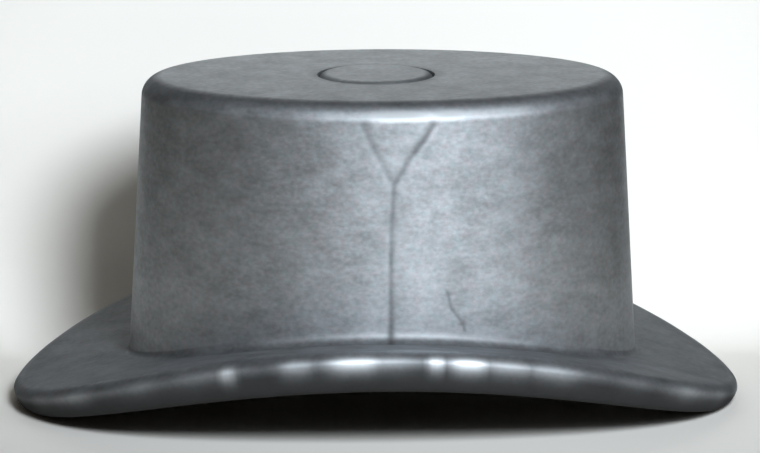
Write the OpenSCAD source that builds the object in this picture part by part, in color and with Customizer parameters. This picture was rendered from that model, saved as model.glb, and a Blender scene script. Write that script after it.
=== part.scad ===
// Game token in the form of a low top hat, moulded in silver-grey plastic.
// X runs along the brim's length, Y across it and Z up. The origin is on the table,
// under the middle of the brim, which stands on the flats at its two ends.

/* [Brim] */
// Length of the brim from end to end
brim_l = 25; // [22:0.5:30]
// Width of the brim from side to side
brim_w = 20.4; // [18:0.2:24]
// Thickness of the brim at the middle of its long sides, also the diameter of its rounded edge there
side_t = 1.4; // [1.1:0.1:1.7]
// Thickness of the brim at its two ends, also the diameter of its rounded edge there
end_t = 1; // [0.8:0.1:1.4]
// Height on the Z axis of the saddle's upper face, carried in from the long sides
saddle_h = 2.9; // [2.6:0.05:3.6]
// Height of the brim's upper face at the middle of each long side
side_h = 3.7; // [3.2:0.1:4.8]
// Depth of the flats on which the ends of the brim stand
flat_d = 0.12; // [0.05:0.01:0.2]

/* [Crown] */
// Length of the crown at the height of the saddle
crown_l = 17.4; // [15:0.1:19]
// Width of the crown at the height of the saddle
crown_w = 12.6; // [10:0.1:14]
// Height of the crown's flat top above the table
hat_h = 11.4; // [9:0.1:15]
// Draft of the crown's wall in degrees
draft = 3; // [1:0.5:5]
// Thickness of the crown's wall
wall_t = 1; // [0.7:0.1:1.4]
// Thickness of the crown's flat top
top_t = 1.2; // [1:0.1:1.6]
// Radius of the rounded shoulder between the wall and the top
shoulder_r = 0.7; // [0.4:0.05:1]
// Radius of the inside corner between the wall and the top
corner_r = 0.3; // [0.1:0.1:0.6]
// Radius of the fillet where the wall runs out onto the brim
foot_r = 0.45; // [0.3:0.05:0.7]
// Distance of the crown's axis from the middle of the brim
crown_x = 0.22; // [0:0.02:0.4]
// Depth of the rebate in the brim that takes the crown's foot
rebate_d = 0.5; // [0.3:0.05:0.7]

/* [Plug] */
// Diameter of the round head that shows in the crown's top
head_d = 4; // [3:0.1:5]
// Thickness of the head
head_t = 0.62; // [0.4:0.02:0.8]
// Height of the head above the crown's top
head_proud = 0.06; // [0.03:0.01:0.2]
// Radius of the head's upper edge, which leaves a fine groove round the head
head_r = 0.3; // [0.1:0.05:0.4]
// Diameter of the stem through the crown's top
stem_d = 2.4; // [1.6:0.1:2.8]

/* [Hidden] */

// Gap that the cement fills at every seat
seat_gap = 0.03;
// Facets round an oval, steps across a bare stretch of brim, and steps in a quarter of a rounded edge
sides = 120;
brim_steps = 4;
edge_steps = 8;
corner_steps = 4;

silver_grey = "#7f868a";

// The rounded edge of the brim is a rod of the brim's thickness, with its middle on an oval
rim_half = [(brim_l - end_t) / 2, (brim_w - side_t) / 2];

// The middle of the brim's thickness lies on the saddle z = middle_h + rise y^2 - drop x^2
middle_h = saddle_h - side_t / 2;
drop = (middle_h - (end_t / 2 - flat_d)) / pow(rim_half.x, 2);
rise = (side_h - saddle_h) / pow(rim_half.y, 2);

// Centres of the crown's rounded shoulder and inside corner, as an offset from the foot's oval and a height
shoulder_h = hat_h - shoulder_r;
shoulder_off = wall_off(shoulder_h) - shoulder_r / cos(draft);
corner_h = hat_h - top_t - corner_r;
corner_off = wall_off(corner_h) - wall_t - corner_r / cos(draft);

// The plug's shoulder sits on the floor of a counterbore
plug_seat_h = hat_h + head_proud - head_t;

angles = [for (i = [0:sides - 1]) 360 * i / sides];

function unit(v) = v / norm(v);

function between(a, b, share) = a + (b - a) * share;

// Distances at angle t from the saddle to the brim's upper face and to the floor of its rebate
function upper(t) = between(end_t, side_t, pow(sin(t), 2)) / 2;
function rebate(t) = upper(t) - rebate_d;

// Steepness of the saddle at p, as a vector square to it
function upright(p) = [2 * drop * p.x, -2 * rise * p.y, 1];

// Height at p of the face that lies this far from the saddle
function face_h(p, distance) =
    middle_h + rise * p.y * p.y - drop * p.x * p.x + distance * norm(upright(p));

// Point at angle t on an oval with these half axes
function oval(half, t, x = 0) = [x + half.x * cos(t), half.y * sin(t)];

// How far the drafted wall stands outside the foot's oval at height z
function wall_off(z) = (saddle_h - z) * tan(draft);

// Point at angle t on the crown's oval, moved outwards by off
function crown_plan(t, off) = oval([crown_l / 2 + off, crown_w / 2 + off], t, crown_x);

// The wall's offset where it meets the face at this distance, or this far above that face
function foot_off(t, distance, lift = 0) = wall_off(face_h(crown_plan(t, 0), distance) + lift);

// Plan of the crown's flared foot, and of the hollow inside it
function foot_plan(t, gap = 0) = crown_plan(t, foot_off(t, upper(t), foot_r) + foot_r + gap);
function hollow_plan(t) = crown_plan(t, foot_off(t, rebate(t)) - wall_t);

// A plan point lifted onto the face at this distance
function on_face(p, distance, lift = 0) = [p.x, p.y, face_h(p, distance) + lift];

// Point on the rounded edge of the brim: 90 degrees is its top, 0 its outermost line
function rim_point(t, turn) =
    let (
        p = oval(rim_half, t),
        up = unit(upright(p)),
        away = [cos(t) / rim_half.x, sin(t) / rim_half.y, 0],
        out = unit(away - (away * up) * up)
    )
    on_face(p, 0) + upper(t) * (cos(turn) * out + sin(turn) * up);

// The turns at the ends of this many equal steps from one angle to another
function turns(from, to, steps) = [for (i = [0:steps]) between(from, to, i / steps)];

// Level ring of the crown at an offset and height, and a point of an arc round such a pair
function level_ring(at) = [for (t = angles) let (p = crown_plan(t, at[0])) [p.x, p.y, at[1]]];
function arc_at(off, h, r, turn) = [off + r * cos(turn), h + r * sin(turn)];

// Skins rings of points, outermost face first. Level ends are capped, or the last ring joins the first.
module skin(rings, looped = false) {
    count = len(rings);
    last = looped ? count - 1 : count - 2;
    caps = looped ? [] : [
        [for (j = [sides - 1:-1:0]) j],
        [for (j = [0:sides - 1]) (count - 1) * sides + j]
    ];
    walls = [
        for (i = [0:last], j = [0:sides - 1])
            let (
                next = (i + 1) % count,
                k = (j + 1) % sides,
                a = i * sides + j,
                b = i * sides + k,
                c = next * sides + k,
                d = next * sides + j
            )
            each [[a, b, c], [a, c, d]]
    ];
    polyhedron([for (ring = rings) each ring], concat(caps, walls), convexity = 6);
}

// Saddle-shaped brim with a rounded edge, a rebate for the crown's foot and the hollow's mouth.
module brim() {
    bare = [1:brim_steps - 1];
    seat = [
        [for (t = angles) on_face(hollow_plan(t), rebate(t), -seat_gap)],
        [for (t = angles) on_face(foot_plan(t, seat_gap), rebate(t), -seat_gap)],
        [for (t = angles) on_face(foot_plan(t, seat_gap), upper(t))]
    ];
    top = [
        for (k = bare)
            [for (t = angles)
                on_face(between(foot_plan(t, seat_gap), oval(rim_half, t), k / brim_steps), upper(t))]
    ];
    edge = [
        for (turn = turns(90, -90, 2 * edge_steps))
            [for (t = angles) rim_point(t, turn)]
    ];
    below = [
        for (k = bare)
            [for (t = angles)
                on_face(between(oval(rim_half, t), hollow_plan(t), k / brim_steps), -upper(t))]
    ];
    mouth = [[for (t = angles) on_face(hollow_plan(t), -upper(t))]];
    color(silver_grey)
        difference() {
            skin(concat(seat, top, edge, below, mouth), looped = true);
            translate([-brim_l, -brim_w, -side_t])
                cube([2 * brim_l, 2 * brim_w, side_t]);
        }
}

// Hollow oval crown: flat top, rounded shoulder, drafted wall and a foot that flares onto the brim.
module crown() {
    shoulder = [
        for (turn = turns(90, draft, edge_steps))
            level_ring(arc_at(shoulder_off, shoulder_h, shoulder_r, turn))
    ];
    flare = [
        for (turn = turns(0, 90, edge_steps))
            [for (t = angles)
                on_face(crown_plan(t, foot_off(t, upper(t), foot_r) + foot_r * (1 - cos(turn))),
                    upper(t), foot_r * (1 - sin(turn)))]
    ];
    foot = [
        [for (t = angles) on_face(foot_plan(t), rebate(t))],
        [for (t = angles) on_face(hollow_plan(t), rebate(t))]
    ];
    corner = [
        for (turn = turns(draft, 90, corner_steps))
            level_ring(arc_at(corner_off, corner_h, corner_r, turn))
    ];
    color(silver_grey)
        difference() {
            skin(concat(shoulder, flare, foot, corner));
            translate([0, 0, plug_seat_h])
                cylinder(d = head_d + 2 * seat_gap, h = head_t, $fn = 64);
            translate([0, 0, plug_seat_h - top_t])
                cylinder(d = stem_d + 2 * seat_gap, h = 2 * top_t, $fn = 64);
        }
}

// Round plug in the crown's top: a head with a rounded edge, on a stem that ends flush inside.
module crown_plug() {
    top_h = plug_seat_h + head_t;
    edge = [
        for (turn = turns(0, 90, edge_steps))
            arc_at(head_d / 2 - head_r, top_h - head_r, head_r, turn)
    ];
    stem = [
        [0, hat_h - top_t],
        [stem_d / 2, hat_h - top_t],
        [stem_d / 2, plug_seat_h],
        [head_d / 2, plug_seat_h]
    ];
    color(silver_grey)
        rotate_extrude($fn = 64)
            polygon(concat(stem, edge, [[0, top_h]]));
}

brim();
crown();
crown_plug();
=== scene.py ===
import math

import bpy
import numpy as np
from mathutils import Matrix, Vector


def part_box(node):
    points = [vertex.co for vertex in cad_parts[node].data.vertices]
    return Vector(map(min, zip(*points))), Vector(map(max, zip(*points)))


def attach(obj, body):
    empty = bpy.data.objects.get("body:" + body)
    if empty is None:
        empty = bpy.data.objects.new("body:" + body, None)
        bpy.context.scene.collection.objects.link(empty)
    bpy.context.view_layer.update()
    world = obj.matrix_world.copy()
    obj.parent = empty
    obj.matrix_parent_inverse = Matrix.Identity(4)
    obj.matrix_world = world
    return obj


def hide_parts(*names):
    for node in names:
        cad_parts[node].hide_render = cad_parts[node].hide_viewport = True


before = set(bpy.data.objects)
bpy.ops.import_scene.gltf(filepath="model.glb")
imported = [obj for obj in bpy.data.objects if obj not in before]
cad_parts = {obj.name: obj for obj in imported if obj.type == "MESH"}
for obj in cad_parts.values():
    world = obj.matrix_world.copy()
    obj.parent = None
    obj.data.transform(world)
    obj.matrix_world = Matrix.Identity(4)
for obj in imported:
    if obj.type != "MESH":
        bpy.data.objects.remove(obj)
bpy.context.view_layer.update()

# Brim. An oval plate of silver-grey plastic, moulded in the form of a saddle: its ends droop to the table and
# its long sides turn up. Its edge is a full round, nicked by play, and rubbed and painted bright with a
# highlight along its crest. The crown's foot is cemented into a rebate round its mouth.
mm = 0.001

brim_low, brim_high = (np.array(corner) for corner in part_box("brim"))
crown_low, crown_high = (np.array(corner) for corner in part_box("crown"))

end_r, side_r = 0.5 * mm, 0.7 * mm
flat_depth = 0.12 * mm
saddle_top = 2.9 * mm
side_top = brim_high[2]
rebate_depth = 0.5 * mm
# The cement fills the seats, and the foot's outer edge shows only a hairline of it.
cement, hairline = 0.03 * mm, 0.004 * mm

# The round edge is centred on an oval, and the middle of the plate lies on z = mid + rise y^2 - drop x^2.
edge_half = (brim_high - brim_low)[:2] / 2 - (end_r, side_r)
saddle_mid = saddle_top - side_r
saddle_drop = (saddle_mid - (end_r - flat_depth)) / edge_half[0] ** 2
saddle_rise = (side_top - saddle_top) / edge_half[1] ** 2

# The crown stands on the brim on its own oval, with a drafted wall that flares into a foot.
draft_angle = math.radians(3)
draft = math.tan(draft_angle)
wall = 1.0 * mm
end_flare, side_flare = 0.2 * mm, 0.45 * mm
crown_x = (crown_low[0] + crown_high[0]) / 2
crown_half = np.array([8.7, 6.3]) * mm

brim_sides = 480
seat_rows, face_steps, edge_rows = 3, 20, 33
# The angle that each row of the round edge faces: 90 is its top and 0 its outermost line.
edge_aim = np.linspace(90, -90, edge_rows)[:, None]
edge_lift = 0.36
edge_ripple = 0.008 * mm
nick_height = 45
# Each nick in the edge: its place round the brim, its spread, its depth and the angle that it faces.
nicks = (
    (249.5, 1.6, 0.030 * mm, 30),
    (279.0, 1.3, 0.025 * mm, 30),
    (256.0, 1.0, 0.012 * mm, 20),
    (233.0, 2.0, 0.020 * mm, 40),
    (301.0, 2.4, 0.018 * mm, 10),
)


def half_thick(turn):
    """Half the plate's thickness: the square of the turn's sine blends the ends' value into the sides'."""
    return end_r + (side_r - end_r) * np.sin(turn) ** 2


def flare_r(turn):
    """Radius of the crown's flared foot, blended from the ends to the sides in the same way."""
    return end_flare + (side_flare - end_flare) * np.sin(turn) ** 2


def on_saddle(x, y, off):
    """Point over (x, y) on the face that lies off from the saddle, measured square to it."""
    steep = np.sqrt(1 + (2 * saddle_drop * x) ** 2 + (2 * saddle_rise * y) ** 2)
    z = saddle_mid + saddle_rise * y ** 2 - saddle_drop * x ** 2 + off * steep
    return np.stack([x, y, z], axis=-1)


def saddle_up(x, y):
    """Unit vector square to the saddle and pointing up: its height's gradient, reversed, beside 1."""
    up = np.stack([2 * saddle_drop * x, -2 * saddle_rise * y, np.ones_like(x)], axis=-1)
    return up / np.linalg.norm(up, axis=-1, keepdims=True)


def crown_oval(turn, out):
    """x and y of the crown's oval at each turn, with both half axes longer by out."""
    return crown_x + (crown_half[0] + out) * np.cos(turn), (crown_half[1] + out) * np.sin(turn)


def wall_out(z):
    """How far the drafted wall stands outside the crown's oval at height z."""
    return (saddle_top - z) * draft


def foot_out(turn, off, lift=0.0):
    """The wall's stand-out where it comes down to a face of the brim, or to a height above that face."""
    return wall_out(on_saddle(*crown_oval(turn, 0.0), off)[..., 2] + lift)


def foot_edge(turn, gap=0.0):
    """x and y of the outer edge of the crown's flared foot, or of a line at a gap round it."""
    flare = flare_r(turn)
    return crown_oval(turn, foot_out(turn, half_thick(turn), flare) + flare + gap)


def mouth_edge(turn):
    """x and y of the hollow's mouth, which is flush through the crown's foot and the brim."""
    return crown_oval(turn, foot_out(turn, half_thick(turn) - rebate_depth) - wall)


def across(first, last, steps):
    """Rows on straight lines from one ring to another, in equal steps, both ends left out."""
    first, last = np.array(first), np.array(last)
    share = (np.arange(1, steps) / steps)[:, None, None]
    return first + (last - first) * share


def bell(gap, spread):
    """Bell curve: e to the power of minus the square of gap over spread."""
    return np.exp(-(gap / spread) ** 2)


def ripple(angle, seed, waves, size):
    """Smooth unevenness: a sum of sines of the angle, with whole wave numbers and seeded phases."""
    phases = np.random.default_rng(seed).uniform(0, 2 * math.pi, len(waves))
    total = sum(np.sin(count * angle + phase) for count, phase in zip(waves, phases))
    return size * total / math.sqrt(len(waves))


def brim_rows(turn):
    """Rows of the closed brim: rebate, upper face, round edge, underside and mouth.

    The edge is the circle centre + r (cos a out + sin a up) carried round its oval, with its outermost line
    lifted by a share of the thickness that fades as 1 - |sin a|. Unevenness and nicks change r, so they die
    out towards the faces.
    """
    half = half_thick(turn)
    mouth = mouth_edge(turn)
    rebate = foot_edge(turn, hairline)
    line = edge_half[0] * np.cos(turn), edge_half[1] * np.sin(turn)
    floor_off = half - rebate_depth - cement
    seat = [on_saddle(*mouth, floor_off), on_saddle(*rebate, floor_off), on_saddle(*rebate, half)]

    up = saddle_up(*line)
    out = np.stack([np.cos(turn) / edge_half[0], np.sin(turn) / edge_half[1], np.zeros_like(turn)], axis=-1)
    out = out - (out * up).sum(axis=-1, keepdims=True) * up
    out = out / np.linalg.norm(out, axis=-1, keepdims=True)

    a = np.radians(edge_aim)
    worn = ripple(turn, seed=4, waves=(9, 14, 23, 37), size=edge_ripple)
    for place, spread, depth, aim in nicks:
        along = bell(np.degrees(turn) - place, spread)
        worn = worn - depth * along * bell(edge_aim - aim, nick_height)
    r = half + worn * np.cos(a) ** 2
    rise = r * np.sin(a) + edge_lift * half * (1 - np.abs(np.sin(a)))
    edge = on_saddle(*line, 0.0) + (r * np.cos(a))[..., None] * out + rise[..., None] * up

    top = on_saddle(*across(rebate, line, face_steps).swapaxes(0, 1), half)
    below = on_saddle(*across(line, mouth, face_steps).swapaxes(0, 1), -half)
    rows = np.concatenate([seat, top, edge, below, [on_saddle(*mouth, -half)]])
    rows[..., 2] = np.maximum(rows[..., 2], 0.0)
    return rows


sharp_from = math.radians(40)


def mesh_piece(name, points, faces, **paint):
    """Smooth mesh object with its sharp edges kept. Each paint is an attribute, one value to a point."""
    mesh = bpy.data.meshes.new(name)
    mesh.from_pydata(points, [], faces)
    mesh.shade_smooth()
    mesh.set_sharp_from_angle(angle=sharp_from)
    for label, values in paint.items():
        layer = mesh.attributes.new(label, "FLOAT", "POINT")
        layer.data.foreach_set("value", values.ravel().astype(np.float32))
    piece = bpy.data.objects.new(name, mesh)
    bpy.context.scene.collection.objects.link(piece)
    return piece


def ring_piece(name, rows, **paint):
    """Closed tube: each row is a ring, the last row joins the first, and four neighbours make a face."""
    count, sides = rows.shape[:2]
    index = np.arange(count * sides).reshape(count, sides)
    below = np.roll(index, -1, axis=0)
    faces = np.stack([index, below, np.roll(below, -1, axis=1), np.roll(index, -1, axis=1)], axis=-1)
    return mesh_piece(name, rows.reshape(-1, 3), faces.reshape(-1, 4).tolist(), **paint)


# Greys of the plastic: its flakes, the tints of single flakes, scuffed skin with painted highlight, and the
# dark of its marks and of painted shade.
flake_dark, flake_light = (0.43, 0.445, 0.455), (0.64, 0.665, 0.685)
cool_flake, warm_flake = (0.9, 1.04, 1.04), (1.1, 0.96, 0.97)
scuffed_and_highlight_grey, marks_and_shade_grey = (0.93, 0.96, 0.97), (0.05, 0.05, 0.05)
# Waves per millimetre of the blotches, the grain and the tints, and the share of each in the mottled grey.
blotch_waves, grain_waves, tint_waves = (0.5, 0.5, 0.5), (5, 5, 7), (4, 4, 5)
cloud_share, blotch_share, grain_share = 0.4, 0.2, 0.4
mottle_low, mottle_high = 0.36, 0.64
# Roughness of plain plastic, and what mottling, the dark marks and painted shade, and the scuffs with painted
# highlight add to it.
plain_rough, mottle_rough, dull_rough, rub_rough = 0.40, 0.12, 0.3, 0.19
low_angle_grey = 0.35
grain_strength, grain_depth = 0.25, 0.01 * mm


def silver_plastic(name, cloud_waves):
    """Plastic filled with fine metal flake, a rough metal to the eye, darker where it is seen at a low angle.

    Soft clouds, blotches and a fine grain shade its grey. One painted attribute darkens it: the weld line and
    the crack, and painted shade on the brim's faces, under the brim and on the lower half of its edge, on the
    shoulder, at the wall's foot, inside and in the groove round the plug. The other is scuffed skin with a
    painted highlight on the edge's crest and on the shoulder, brighter but rougher.
    """
    material = bpy.data.materials.new(name)
    material.use_nodes = True
    nodes, links = material.node_tree.nodes, material.node_tree.links
    shader = nodes["Principled BSDF"]
    place = nodes.new("ShaderNodeTexCoord")

    def noise(waves, detail):
        mapping = nodes.new("ShaderNodeMapping")
        mapping.inputs["Scale"].default_value = [each / mm for each in waves]
        texture = nodes.new("ShaderNodeTexNoise")
        texture.inputs["Scale"].default_value = 1.0
        texture.inputs["Detail"].default_value = detail
        links.new(place.outputs["Object"], mapping.inputs["Vector"])
        links.new(mapping.outputs["Vector"], texture.inputs["Vector"])
        return texture.outputs["Fac"]

    def add_share(value, share, rest):
        node = nodes.new("ShaderNodeMath")
        node.operation = "MULTIPLY_ADD"
        links.new(value, node.inputs[0])
        node.inputs[1].default_value = share
        if isinstance(rest, float):
            node.inputs[2].default_value = rest
        else:
            links.new(rest, node.inputs[2])
        return node.outputs["Value"]

    def painted(label):
        node = nodes.new("ShaderNodeAttribute")
        node.attribute_name = label
        return node.outputs["Fac"]

    def mixed(share, first, second, blend="MIX"):
        node = nodes.new("ShaderNodeMix")
        node.data_type = "RGBA"
        node.blend_type = blend
        if isinstance(share, float):
            node.inputs["Factor"].default_value = share
        else:
            links.new(share, node.inputs["Factor"])
        for socket, colour in ((node.inputs["A"], first), (node.inputs["B"], second)):
            if isinstance(colour, tuple):
                socket.default_value = (*colour, 1.0)
            else:
                links.new(colour, socket)
        return node.outputs["Result"]

    clouds, blotch, grain = noise(cloud_waves, 3.0), noise(blotch_waves, 2.0), noise(grain_waves, 3.0)
    tint = mixed(noise(tint_waves, 2.0), cool_flake, warm_flake)
    rub, dull = painted("rub"), painted("dull")
    mottle = add_share(blotch, blotch_share, add_share(grain, grain_share, 0.0))
    mottle = add_share(clouds, cloud_share, mottle)
    tone = nodes.new("ShaderNodeValToRGB")
    darkest, lightest = tone.color_ramp.elements
    darkest.position, lightest.position = mottle_low, mottle_high
    darkest.color, lightest.color = (*flake_dark, 1.0), (*flake_light, 1.0)
    links.new(mottle, tone.inputs["Fac"])
    flakes = mixed(1.0, tone.outputs["Color"], tint, "MULTIPLY")
    links.new(mixed(dull, mixed(rub, flakes, scuffed_and_highlight_grey), marks_and_shade_grey), shader.inputs["Base Color"])

    rough = add_share(dull, dull_rough, add_share(mottle, mottle_rough, plain_rough))
    links.new(add_share(rub, rub_rough, rough), shader.inputs["Roughness"])
    shader.inputs["Metallic"].default_value = 1.0
    shader.inputs["Specular Tint"].default_value = (low_angle_grey, low_angle_grey, low_angle_grey, 1.0)

    bump = nodes.new("ShaderNodeBump")
    bump.inputs["Strength"].default_value = grain_strength
    bump.inputs["Distance"].default_value = grain_depth
    links.new(mottle, bump.inputs["Height"])
    links.new(bump.outputs["Normal"], shader.inputs["Normal"])
    return material


# Painted shade darkens the faces, the underside most of all. The edge is rubbed and painted bright as a
# highlight along its crest, in patches.
face_dull, under_dull = 0.58, 0.95
crest_aim, crest_spread = 12, 28
edge_plain, rub_and_highlight_swing = 0.15, 0.2
# Painted shade on the round edge by the angle that it faces, from its underside to its top.
edge_shades = ((-14, under_dull), (2, 0.74), (15, 0.7), (70, 0.45), (90, face_dull))
# Each patch rubbed and painted bright with a highlight on the front edge: its place round the brim, its spread
# and its strength.
edge_rubs = (
    (245.0, 1.5, 0.9),
    (256.1, 2.7, 0.55),
    (264.9, 4.3, 0.95),
    (277.4, 1.4, 0.85),
    (282.5, 3.0, 1.0),
    (289.0, 4.0, 0.5),
    (296.5, 4.5, 0.5),
)


def rub_and_highlight_share(turn, plain, seed, waves, places):
    """Rub and painted highlight: a plain share with a ripple or, where higher, a flat-topped bell at each
    place.
    """
    share = (plain + ripple(turn, seed, waves, rub_and_highlight_swing)).clip(0, 1)
    for place, spread, strength in places:
        share = np.maximum(share, strength * np.exp(-np.abs((np.degrees(turn) - place) / spread) ** 3))
    return share


brim_turn = np.linspace(0, 2 * math.pi, brim_sides, endpoint=False)
edge_rub_and_highlight = rub_and_highlight_share(brim_turn, edge_plain, seed=8, waves=(3, 7, 12, 26), places=edge_rubs)
# Rubbed skin and painted highlight along the edge's crest, which the painted shade leaves out.
crest_rub_and_highlight = bell(edge_aim - crest_aim, crest_spread) * edge_rub_and_highlight
edge_start = seat_rows + face_steps - 1
brim_dull = np.concatenate([
    np.full((edge_start, brim_sides), face_dull),
    np.interp(edge_aim, *zip(*edge_shades)) * (1 - crest_rub_and_highlight),
    np.full((face_steps, brim_sides), under_dull),
])
brim_rub = np.zeros_like(brim_dull)
brim_rub[edge_start:edge_start + edge_rows] = crest_rub_and_highlight

brim = ring_piece("brim_saddle", brim_rows(brim_turn), rub=brim_rub, dull=brim_dull)
brim.data.materials.append(silver_plastic("silver_plastic_brim", cloud_waves=(1.0, 1.0, 1.0)))
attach(brim, "root")
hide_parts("brim")

# Crown. The hollow body of the hat, an oval cup of the same plastic with a flat top. Two fronts of melt met
# on its front wall in the mould and left a weld line like a Y, with a short crack beside its foot.
plug_low, plug_high = (np.array(corner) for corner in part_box("crown_plug"))
crown_top = crown_high[2]
ceiling = plug_low[2]
head_r = (plug_high[0] - plug_low[0]) / 2
head_thick = 0.62 * mm
stem_r = 1.2 * mm
plug_seat = plug_high[2] - head_thick
shoulder_r = 0.7 * mm
corner_r = 0.3 * mm

crown_sides = 400
bore_rows, top_steps, shoulder_rows, wall_steps, flare_rows = 4, 14, 22, 150, 14
inside_steps, corner_rows, roof_steps = 10, 6, 5
# The first row of each stretch. The weld line's arms reach halfway up the shoulder.
shoulder_start = bore_rows + top_steps - 1
marks_start = shoulder_start + shoulder_rows // 2
wall_start = shoulder_start + shoulder_rows
flare_start = wall_start + wall_steps - 1
foot_start = flare_start + flare_rows
# The columns of points stand closer on the front wall, where the weld line runs.
fine_turns = 20001
weld_middle, weld_reach, weld_close = 0.6 * mm, 2.6 * mm, 3.2

# Weld line and crack as points on the wall, across from the crown's middle and up from the table, in mm.
weld_stem = ((0.04, 3.3), (0.03, 3.65), (0.05, 6.0), (0.12, 8.19), (0.15, 8.63))
weld_arms = (
    ((0.15, 8.63), (0.0, 8.89), (-0.26, 9.36), (-0.55, 9.94), (-0.92, 10.65)),
    ((0.15, 8.63), (0.38, 9.01), (0.67, 9.47), (1.08, 10.04), (1.46, 10.63)),
)
stem_spread, arm_spread, weld_depth = 0.12 * mm, 0.15 * mm, 0.010 * mm
stem_dull, arm_dulls = 0.55, (0.42, 0.6)
weld_wander, weld_plain, weld_swing = 0.012 * mm, 0.9, 0.1
crack_line = ((1.97, 4.92), (2.0, 4.83), (2.08, 4.4), (2.34, 4.05), (2.5, 3.83), (2.56, 3.6))
crack_spread, crack_depth, crack_dull = 0.07 * mm, 0.010 * mm, 0.42
# Each pit along the crack: where it is, its spread and how dull it is.
pits = ((2.0, 4.84, 0.10 * mm, 0.5), (2.48, 3.86, 0.14 * mm, 0.5))


def crown_turns():
    """Turns round the crown, closer on the front: equal steps of the running sum of a density."""
    fine = np.linspace(0, 2 * math.pi, fine_turns)
    x = crown_half[0] * np.cos(fine)
    near = np.exp(-((x - weld_middle) / weld_reach) ** 4) * (np.sin(fine) < 0)
    total = np.cumsum(1 + weld_close * near)
    return np.interp(np.arange(crown_sides) / crown_sides, total / total[-1], fine)


def level_ring(turn, out, z):
    """Level rings of the crown at heights z, that stand outside the crown's oval by out."""
    x, y = crown_oval(turn, out)
    return np.stack([x, y, np.broadcast_to(z, x.shape)], axis=-1)


def circle(turn, r, z):
    """Level circles of radius r about the Z axis, at heights z."""
    x, y = r * np.cos(turn), r * np.sin(turn)
    return np.stack([x, y, np.broadcast_to(z, x.shape)], axis=-1)


def crown_rows(turn):
    """Rows of the closed crown: the plug's bore, over the top, down the wall, under the foot and up inside.

    The shoulder is an arc that meets the wall at its draft, the flare is a quarter circle that runs out on
    the brim's upper face, and the wall is straight between them.
    """
    bore_r = np.array([stem_r, stem_r, head_r, head_r])[:, None] + cement
    bore = circle(turn, bore_r, np.array([ceiling, plug_seat, plug_seat, crown_top])[:, None])

    shoulder_z = crown_top - shoulder_r
    shoulder_out = wall_out(shoulder_z) - shoulder_r / math.cos(draft_angle)
    a = np.linspace(math.pi / 2, draft_angle, shoulder_rows)[:, None]
    shoulder = level_ring(turn, shoulder_out + shoulder_r * np.cos(a), shoulder_z + shoulder_r * np.sin(a))

    half = half_thick(turn)
    flare_size = flare_r(turn)
    a = np.linspace(0, math.pi / 2, flare_rows)[:, None]
    flare_out = foot_out(turn, half, flare_size) + flare_size * (1 - np.cos(a))
    flare = on_saddle(*crown_oval(turn, flare_out), half)
    flare[..., 2] += flare_size * (1 - np.sin(a))

    foot = [on_saddle(*edge(turn), half - rebate_depth) for edge in (foot_edge, mouth_edge)]

    corner_z = ceiling - corner_r
    corner_out = wall_out(corner_z) - wall - corner_r / math.cos(draft_angle)
    a = np.linspace(draft_angle, math.pi / 2, corner_rows)[:, None]
    corner = level_ring(turn, corner_out + corner_r * np.cos(a), corner_z + corner_r * np.sin(a))

    top = across(bore[-1], shoulder[0], top_steps)
    face = across(shoulder[-1], flare[0], wall_steps)
    inside = across(foot[-1], corner[0], inside_steps)
    roof = across(corner[-1], bore[0], roof_steps)
    return np.concatenate([bore, top, shoulder, face, flare, foot, inside, corner, roof])


def line_gap(x, z, points):
    """Distance of each (x, z) from a line through the points: the least over its straight stretches."""
    gap = np.full(x.shape, np.inf)
    for start, end in zip(np.array(points[:-1]) * mm, np.array(points[1:]) * mm):
        run = end - start
        share = (((x - start[0]) * run[0] + (z - start[1]) * run[1]) / (run @ run)).clip(0, 1)
        gap = np.minimum(gap, np.hypot(x - start[0] - share * run[0], z - start[1] - share * run[1]))
    return gap


def wall_marks(points):
    """Dullness of the weld line and of the crack at each point: bell curves of the distance from their lines.

    Both are on the front alone. With height, a ripple bends the weld line and another lets it come and go.
    """
    x, z = points[..., 0] - crown_x, points[..., 2]
    facing = points[..., 1] < 0
    bent = x + ripple(z / mm, seed=3, waves=(1, 2, 3), size=weld_wander)
    fade = weld_plain + ripple(z / mm, seed=6, waves=(1, 3, 5), size=weld_swing)
    weld = stem_dull * bell(line_gap(bent, z, weld_stem), stem_spread) * fade
    for line, strength in zip(weld_arms, arm_dulls):
        weld = np.maximum(weld, strength * bell(line_gap(bent, z, line), arm_spread) * fade)
    crack = crack_dull * bell(line_gap(x, z, crack_line), crack_spread)
    for pit_x, pit_z, spread, strength in pits:
        crack = np.maximum(crack, strength * bell(np.hypot(x - pit_x * mm, z - pit_z * mm), spread))
    return weld * facing, crack * facing


def press_in(points, depth):
    """Moves points of the wall inwards by depth, square to the crown's oval."""
    outward = (points[..., :2] - (crown_x, 0.0)) / crown_half ** 2
    outward = outward / np.linalg.norm(outward, axis=-1, keepdims=True)
    points[..., :2] -= outward * depth[..., None]


crown_turn = crown_turns()
crown_points = crown_rows(crown_turn)
marked = crown_points[marks_start:foot_start]
weld, crack = wall_marks(marked)
press_in(marked, weld_depth * weld / stem_dull + crack_depth * crack / crack_dull)

# Painted shade on the shoulder by the angle that it faces, and on the wall's foot and its flare by the row.
shoulder_shades = ((3, 0.0), (20, 0.4), (60, 0.55), (90, 0.0))
shaded_rows = 36
foot_shades = ((-shaded_rows, 0.0), (0, 0.28), (2, 0.5), (9, 0.5), (flare_rows - 1, face_dull))
# Painted shade inside the hollow.
inside_dull = 0.9
# Painted shade at the floor and the rim of the groove round the plug.
groove_rows, groove_dulls = slice(bore_rows - 2, bore_rows), np.array([0.6, 0.25])
# Each patch rubbed and painted bright with a highlight on the shoulder's front: its place round the crown, its
# spread and its strength.
shoulder_rubs = ((272.2, 6.0, 1.0), (284.4, 3.0, 0.9), (297.0, 8.0, 0.35))
# Angle and spread of the shoulder's rub and painted highlight, and the plain share of its rub.
rub_aim, rub_spread, shoulder_plain = 22, 14, 0.0

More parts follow.
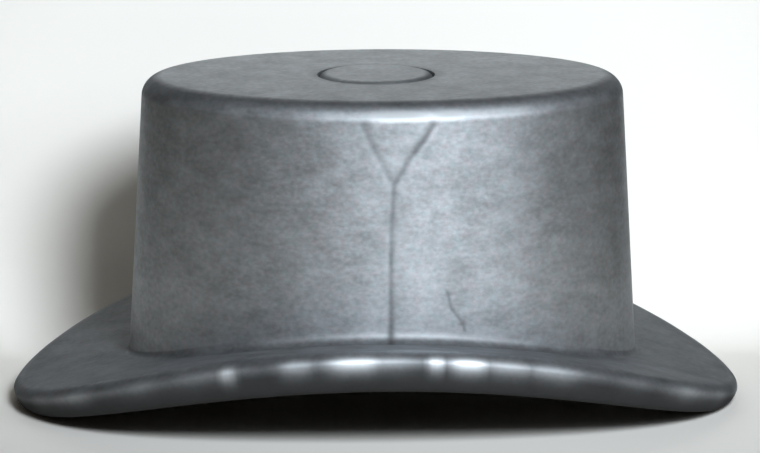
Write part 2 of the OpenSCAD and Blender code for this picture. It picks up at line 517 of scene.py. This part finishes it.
shoulder_aim = np.linspace(90, math.degrees(draft_angle), shoulder_rows)
crown_dull = np.zeros(crown_points.shape[:2])
crown_dull[groove_rows] = groove_dulls[:, None]
crown_dull[shoulder_start:wall_start] = np.interp(shoulder_aim, *zip(*shoulder_shades))[:, None]
crown_dull[marks_start:foot_start] = np.maximum.reduce([crown_dull[marks_start:foot_start], weld, crack])
shaded = slice(flare_start - shaded_rows, foot_start)
foot_shade = np.interp(np.arange(-shaded_rows, flare_rows), *zip(*foot_shades))
crown_dull[shaded] = 1 - (1 - crown_dull[shaded]) * (1 - foot_shade[:, None])
crown_dull[foot_start:] = inside_dull
crown_rub = np.zeros_like(crown_dull)
shoulder_rub_and_highlight = rub_and_highlight_share(crown_turn, shoulder_plain, seed=5, waves=(4, 9, 15, 31), places=shoulder_rubs)
crown_rub[shoulder_start:wall_start] = bell(shoulder_aim - rub_aim, rub_spread)[:, None] * shoulder_rub_and_highlight

crown = ring_piece("crown_cup", crown_points, rub=crown_rub, dull=crown_dull)
crown.data.materials.append(silver_plastic("silver_plastic_crown", cloud_waves=(1.0, 1.0, 2.2)))
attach(crown, "root")
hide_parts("crown")

# Plug. A round disc of the same plastic that shows in the middle of the crown's top, a little proud of it,
# with a softened edge. Its stem is cemented into the top and ends flush inside.
plug_sides = 96
plug_top = plug_high[2]
head_edge_r, head_edge_rows = 0.3 * mm, 14
face_shares = np.array([0.8, 0.5, 0.2, 0.0])
# Painted shade darkens the head towards its edge, between two shares of its radius, most at two opposite
# sides.
plug_shade_shares, dirt_dull = (0.84, 0.93), 0.75
plug_shade_turn, plug_shade_plain, plug_shade_swing = math.radians(-15), 0.6, 0.4

edge_turn = np.linspace(0, math.pi / 2, head_edge_rows)
edge_r = head_r - head_edge_r * (1 - np.cos(edge_turn))
edge_z = plug_top - head_edge_r * (1 - np.sin(edge_turn))
plug_profile = np.concatenate([
    [(0.0, ceiling), (stem_r, ceiling), (stem_r, plug_seat), (head_r, plug_seat)],
    np.stack([edge_r, edge_z], axis=-1),
    np.stack([head_r * face_shares, np.full_like(face_shares, plug_top)], axis=-1),
])


def plug_painted_shade(points):
    """Painted shade on the plug's points: it grows with the radius, times a cosine of twice the turn."""
    x, y = points[:, 0], points[:, 1]
    share = np.interp(np.hypot(x, y) / head_r, plug_shade_shares, (0.0, dirt_dull))
    return share * (plug_shade_plain + plug_shade_swing * np.cos(2 * (np.arctan2(y, x) - plug_shade_turn)))


def turned_piece(name, profile, sides):
    """Mesh object of a profile of (radius, height), from its lower pole to its upper, turned about Z."""
    turn = np.linspace(0, 2 * math.pi, sides, endpoint=False)
    rings = circle(turn, profile[1:-1, :1], profile[1:-1, 1:])
    points = np.concatenate([rings.reshape(-1, 3), [(0, 0, profile[0, 1]), (0, 0, profile[-1, 1])]])
    index = np.arange(rings.shape[0] * sides).reshape(-1, sides)
    beside = np.roll(index, -1, axis=1)
    quads = np.stack([index[:-1], beside[:-1], beside[1:], index[1:]], axis=-1).reshape(-1, 4)
    low, high = len(points) - 2, len(points) - 1
    under = np.stack([np.full(sides, low), beside[0], index[0]], axis=-1)
    over = np.stack([np.full(sides, high), index[-1], beside[-1]], axis=-1)
    faces = quads.tolist() + under.tolist() + over.tolist()
    return mesh_piece(name, points, faces, dull=plug_painted_shade(points))


plug = turned_piece("crown_plug_disc", plug_profile, plug_sides)
plug.data.materials.append(silver_plastic("silver_plastic_plug", cloud_waves=(0.8, 0.8, 0.8)))
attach(plug, "root")
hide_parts("crown_plug")

# White paper. One sheet lies under the token, and a narrow card on it curves up close behind the token and
# leans back, so the soft shadow falls on it. The back of the card is clear, to leave the token in view.
floor_half = 1.2
card_half, card_start, card_high = 16.5 * mm, 6.8 * mm, 30 * mm
card_bend, card_slope, bend_rows = 4 * mm, math.radians(84), 24
card_thick = 0.01 * mm
paper_colour = (0.95, 0.91, 0.84)

bend = np.linspace(0, card_slope, bend_rows)
bend_y, bend_z = card_start + card_bend * np.sin(bend), card_bend * (1 - np.cos(bend))
card_y = np.append(bend_y, bend_y[-1] + (card_high - bend_z[-1]) / math.tan(card_slope))
card_z = np.append(bend_z, card_high) + card_thick


def paper_sheet(name, half, y, z):
    """Mesh object of a sheet along a line of (y, z), twice as wide as half."""
    points = np.stack([np.stack([np.full_like(y, x), y, z], axis=-1) for x in (-half, half)])
    index = np.arange(2 * len(y)).reshape(2, -1)
    faces = np.stack([index[0, :-1], index[1, :-1], index[1, 1:], index[0, 1:]], axis=-1)
    sheet = mesh_piece(name, points.reshape(-1, 3), faces.tolist())
    return sheet


floor = paper_sheet("white_floor", floor_half, np.array([-floor_half, floor_half]), np.zeros(2))
card = paper_sheet("white_card", card_half, card_y, card_z)

white_paper = bpy.data.materials.new("white_card")
white_paper.use_nodes = True
nodes, links = white_paper.node_tree.nodes, white_paper.node_tree.links
front = nodes["Principled BSDF"]
front.inputs["Base Color"].default_value = (*paper_colour, 1.0)
front.inputs["Roughness"].default_value = 0.9
front.inputs["Specular IOR Level"].default_value = 0.1
back = nodes.new("ShaderNodeBsdfTransparent")
face = nodes.new("ShaderNodeNewGeometry")
either = nodes.new("ShaderNodeMixShader")
links.new(face.outputs["Backfacing"], either.inputs["Fac"])
links.new(front.outputs["BSDF"], either.inputs[1])
links.new(back.outputs["BSDF"], either.inputs[2])
links.new(either.outputs["Shader"], nodes["Material Output"].inputs["Surface"])
floor.data.materials.append(white_paper)
card.data.materials.append(white_paper)

# Light. A soft lamp in front, above and a little to the right of the camera, a weak one further to the right,
# both with a narrow beam, and a dim warm room.
beam_aim = Vector((2.0, 0.0, 9.5)) * mm
beam_reach, beam_blend = 34 * mm, 0.1
lamp_far, lamp_r = 150 * mm, 22.5 * mm
lamp_colour = (0.92, 1.0, 1.09)
room_colour, room_strength = (1.0, 0.92, 0.8), 0.045


def way_from_token(turn, height):
    """Unit vector from the token, turned to the right from its front and raised, both in degrees."""
    turn, height = math.radians(turn), math.radians(height)
    return Vector((
        math.sin(turn) * math.cos(height),
        -math.cos(turn) * math.cos(height),
        math.sin(height),
    ))


def soft_lamp(name, turn, height, brightness):
    """Lamp at a turn and height from the token that lights a white card facing it to this brightness."""
    data = bpy.data.lights.new(name, "SPOT")
    data.shadow_soft_size = lamp_r
    data.spot_size = 2 * math.atan(beam_reach / lamp_far)
    data.spot_blend = beam_blend
    data.energy = brightness * 4 * math.pi ** 2 * lamp_far ** 2
    data.color = lamp_colour
    lamp = bpy.data.objects.new(name, data)
    way = way_from_token(turn, height)
    lamp.location = beam_aim + way * lamp_far
    lamp.rotation_euler = way.to_track_quat("Z", "Y").to_euler()
    bpy.context.scene.collection.objects.link(lamp)


soft_lamp("front_lamp", turn=12, height=29.5, brightness=1.06)
soft_lamp("right_lamp", turn=40, height=22, brightness=0.14)

room = bpy.data.worlds.new("room")
room.use_nodes = True
room.node_tree.nodes["Background"].inputs["Color"].default_value = (*room_colour, 1.0)
room.node_tree.nodes["Background"].inputs["Strength"].default_value = room_strength
bpy.context.scene.world = room

# Camera. A long lens, a quarter of a metre away, looks down a little on the token from just left of its
# middle.
photo_width = 760
focal_pixels = 7239.6
camera_far, camera_turn, camera_height = 250 * mm, -2.238, 10.893
camera_aim = Vector((0.138, 0.0, 6.071)) * mm
camera_data = bpy.data.cameras.new("camera")
camera_data.sensor_width = 36.0
camera_data.lens = focal_pixels * camera_data.sensor_width / photo_width
camera_data.clip_start, camera_data.clip_end = 0.01, 10.0
camera = bpy.data.objects.new("camera", camera_data)
camera_way = way_from_token(camera_turn, camera_height)
camera.location = camera_aim + camera_way * camera_far
camera.rotation_euler = camera_way.to_track_quat("Z", "Y").to_euler()
bpy.context.scene.collection.objects.link(camera)
bpy.context.scene.camera = camera

bpy.context.scene.view_settings.view_transform = "Standard"
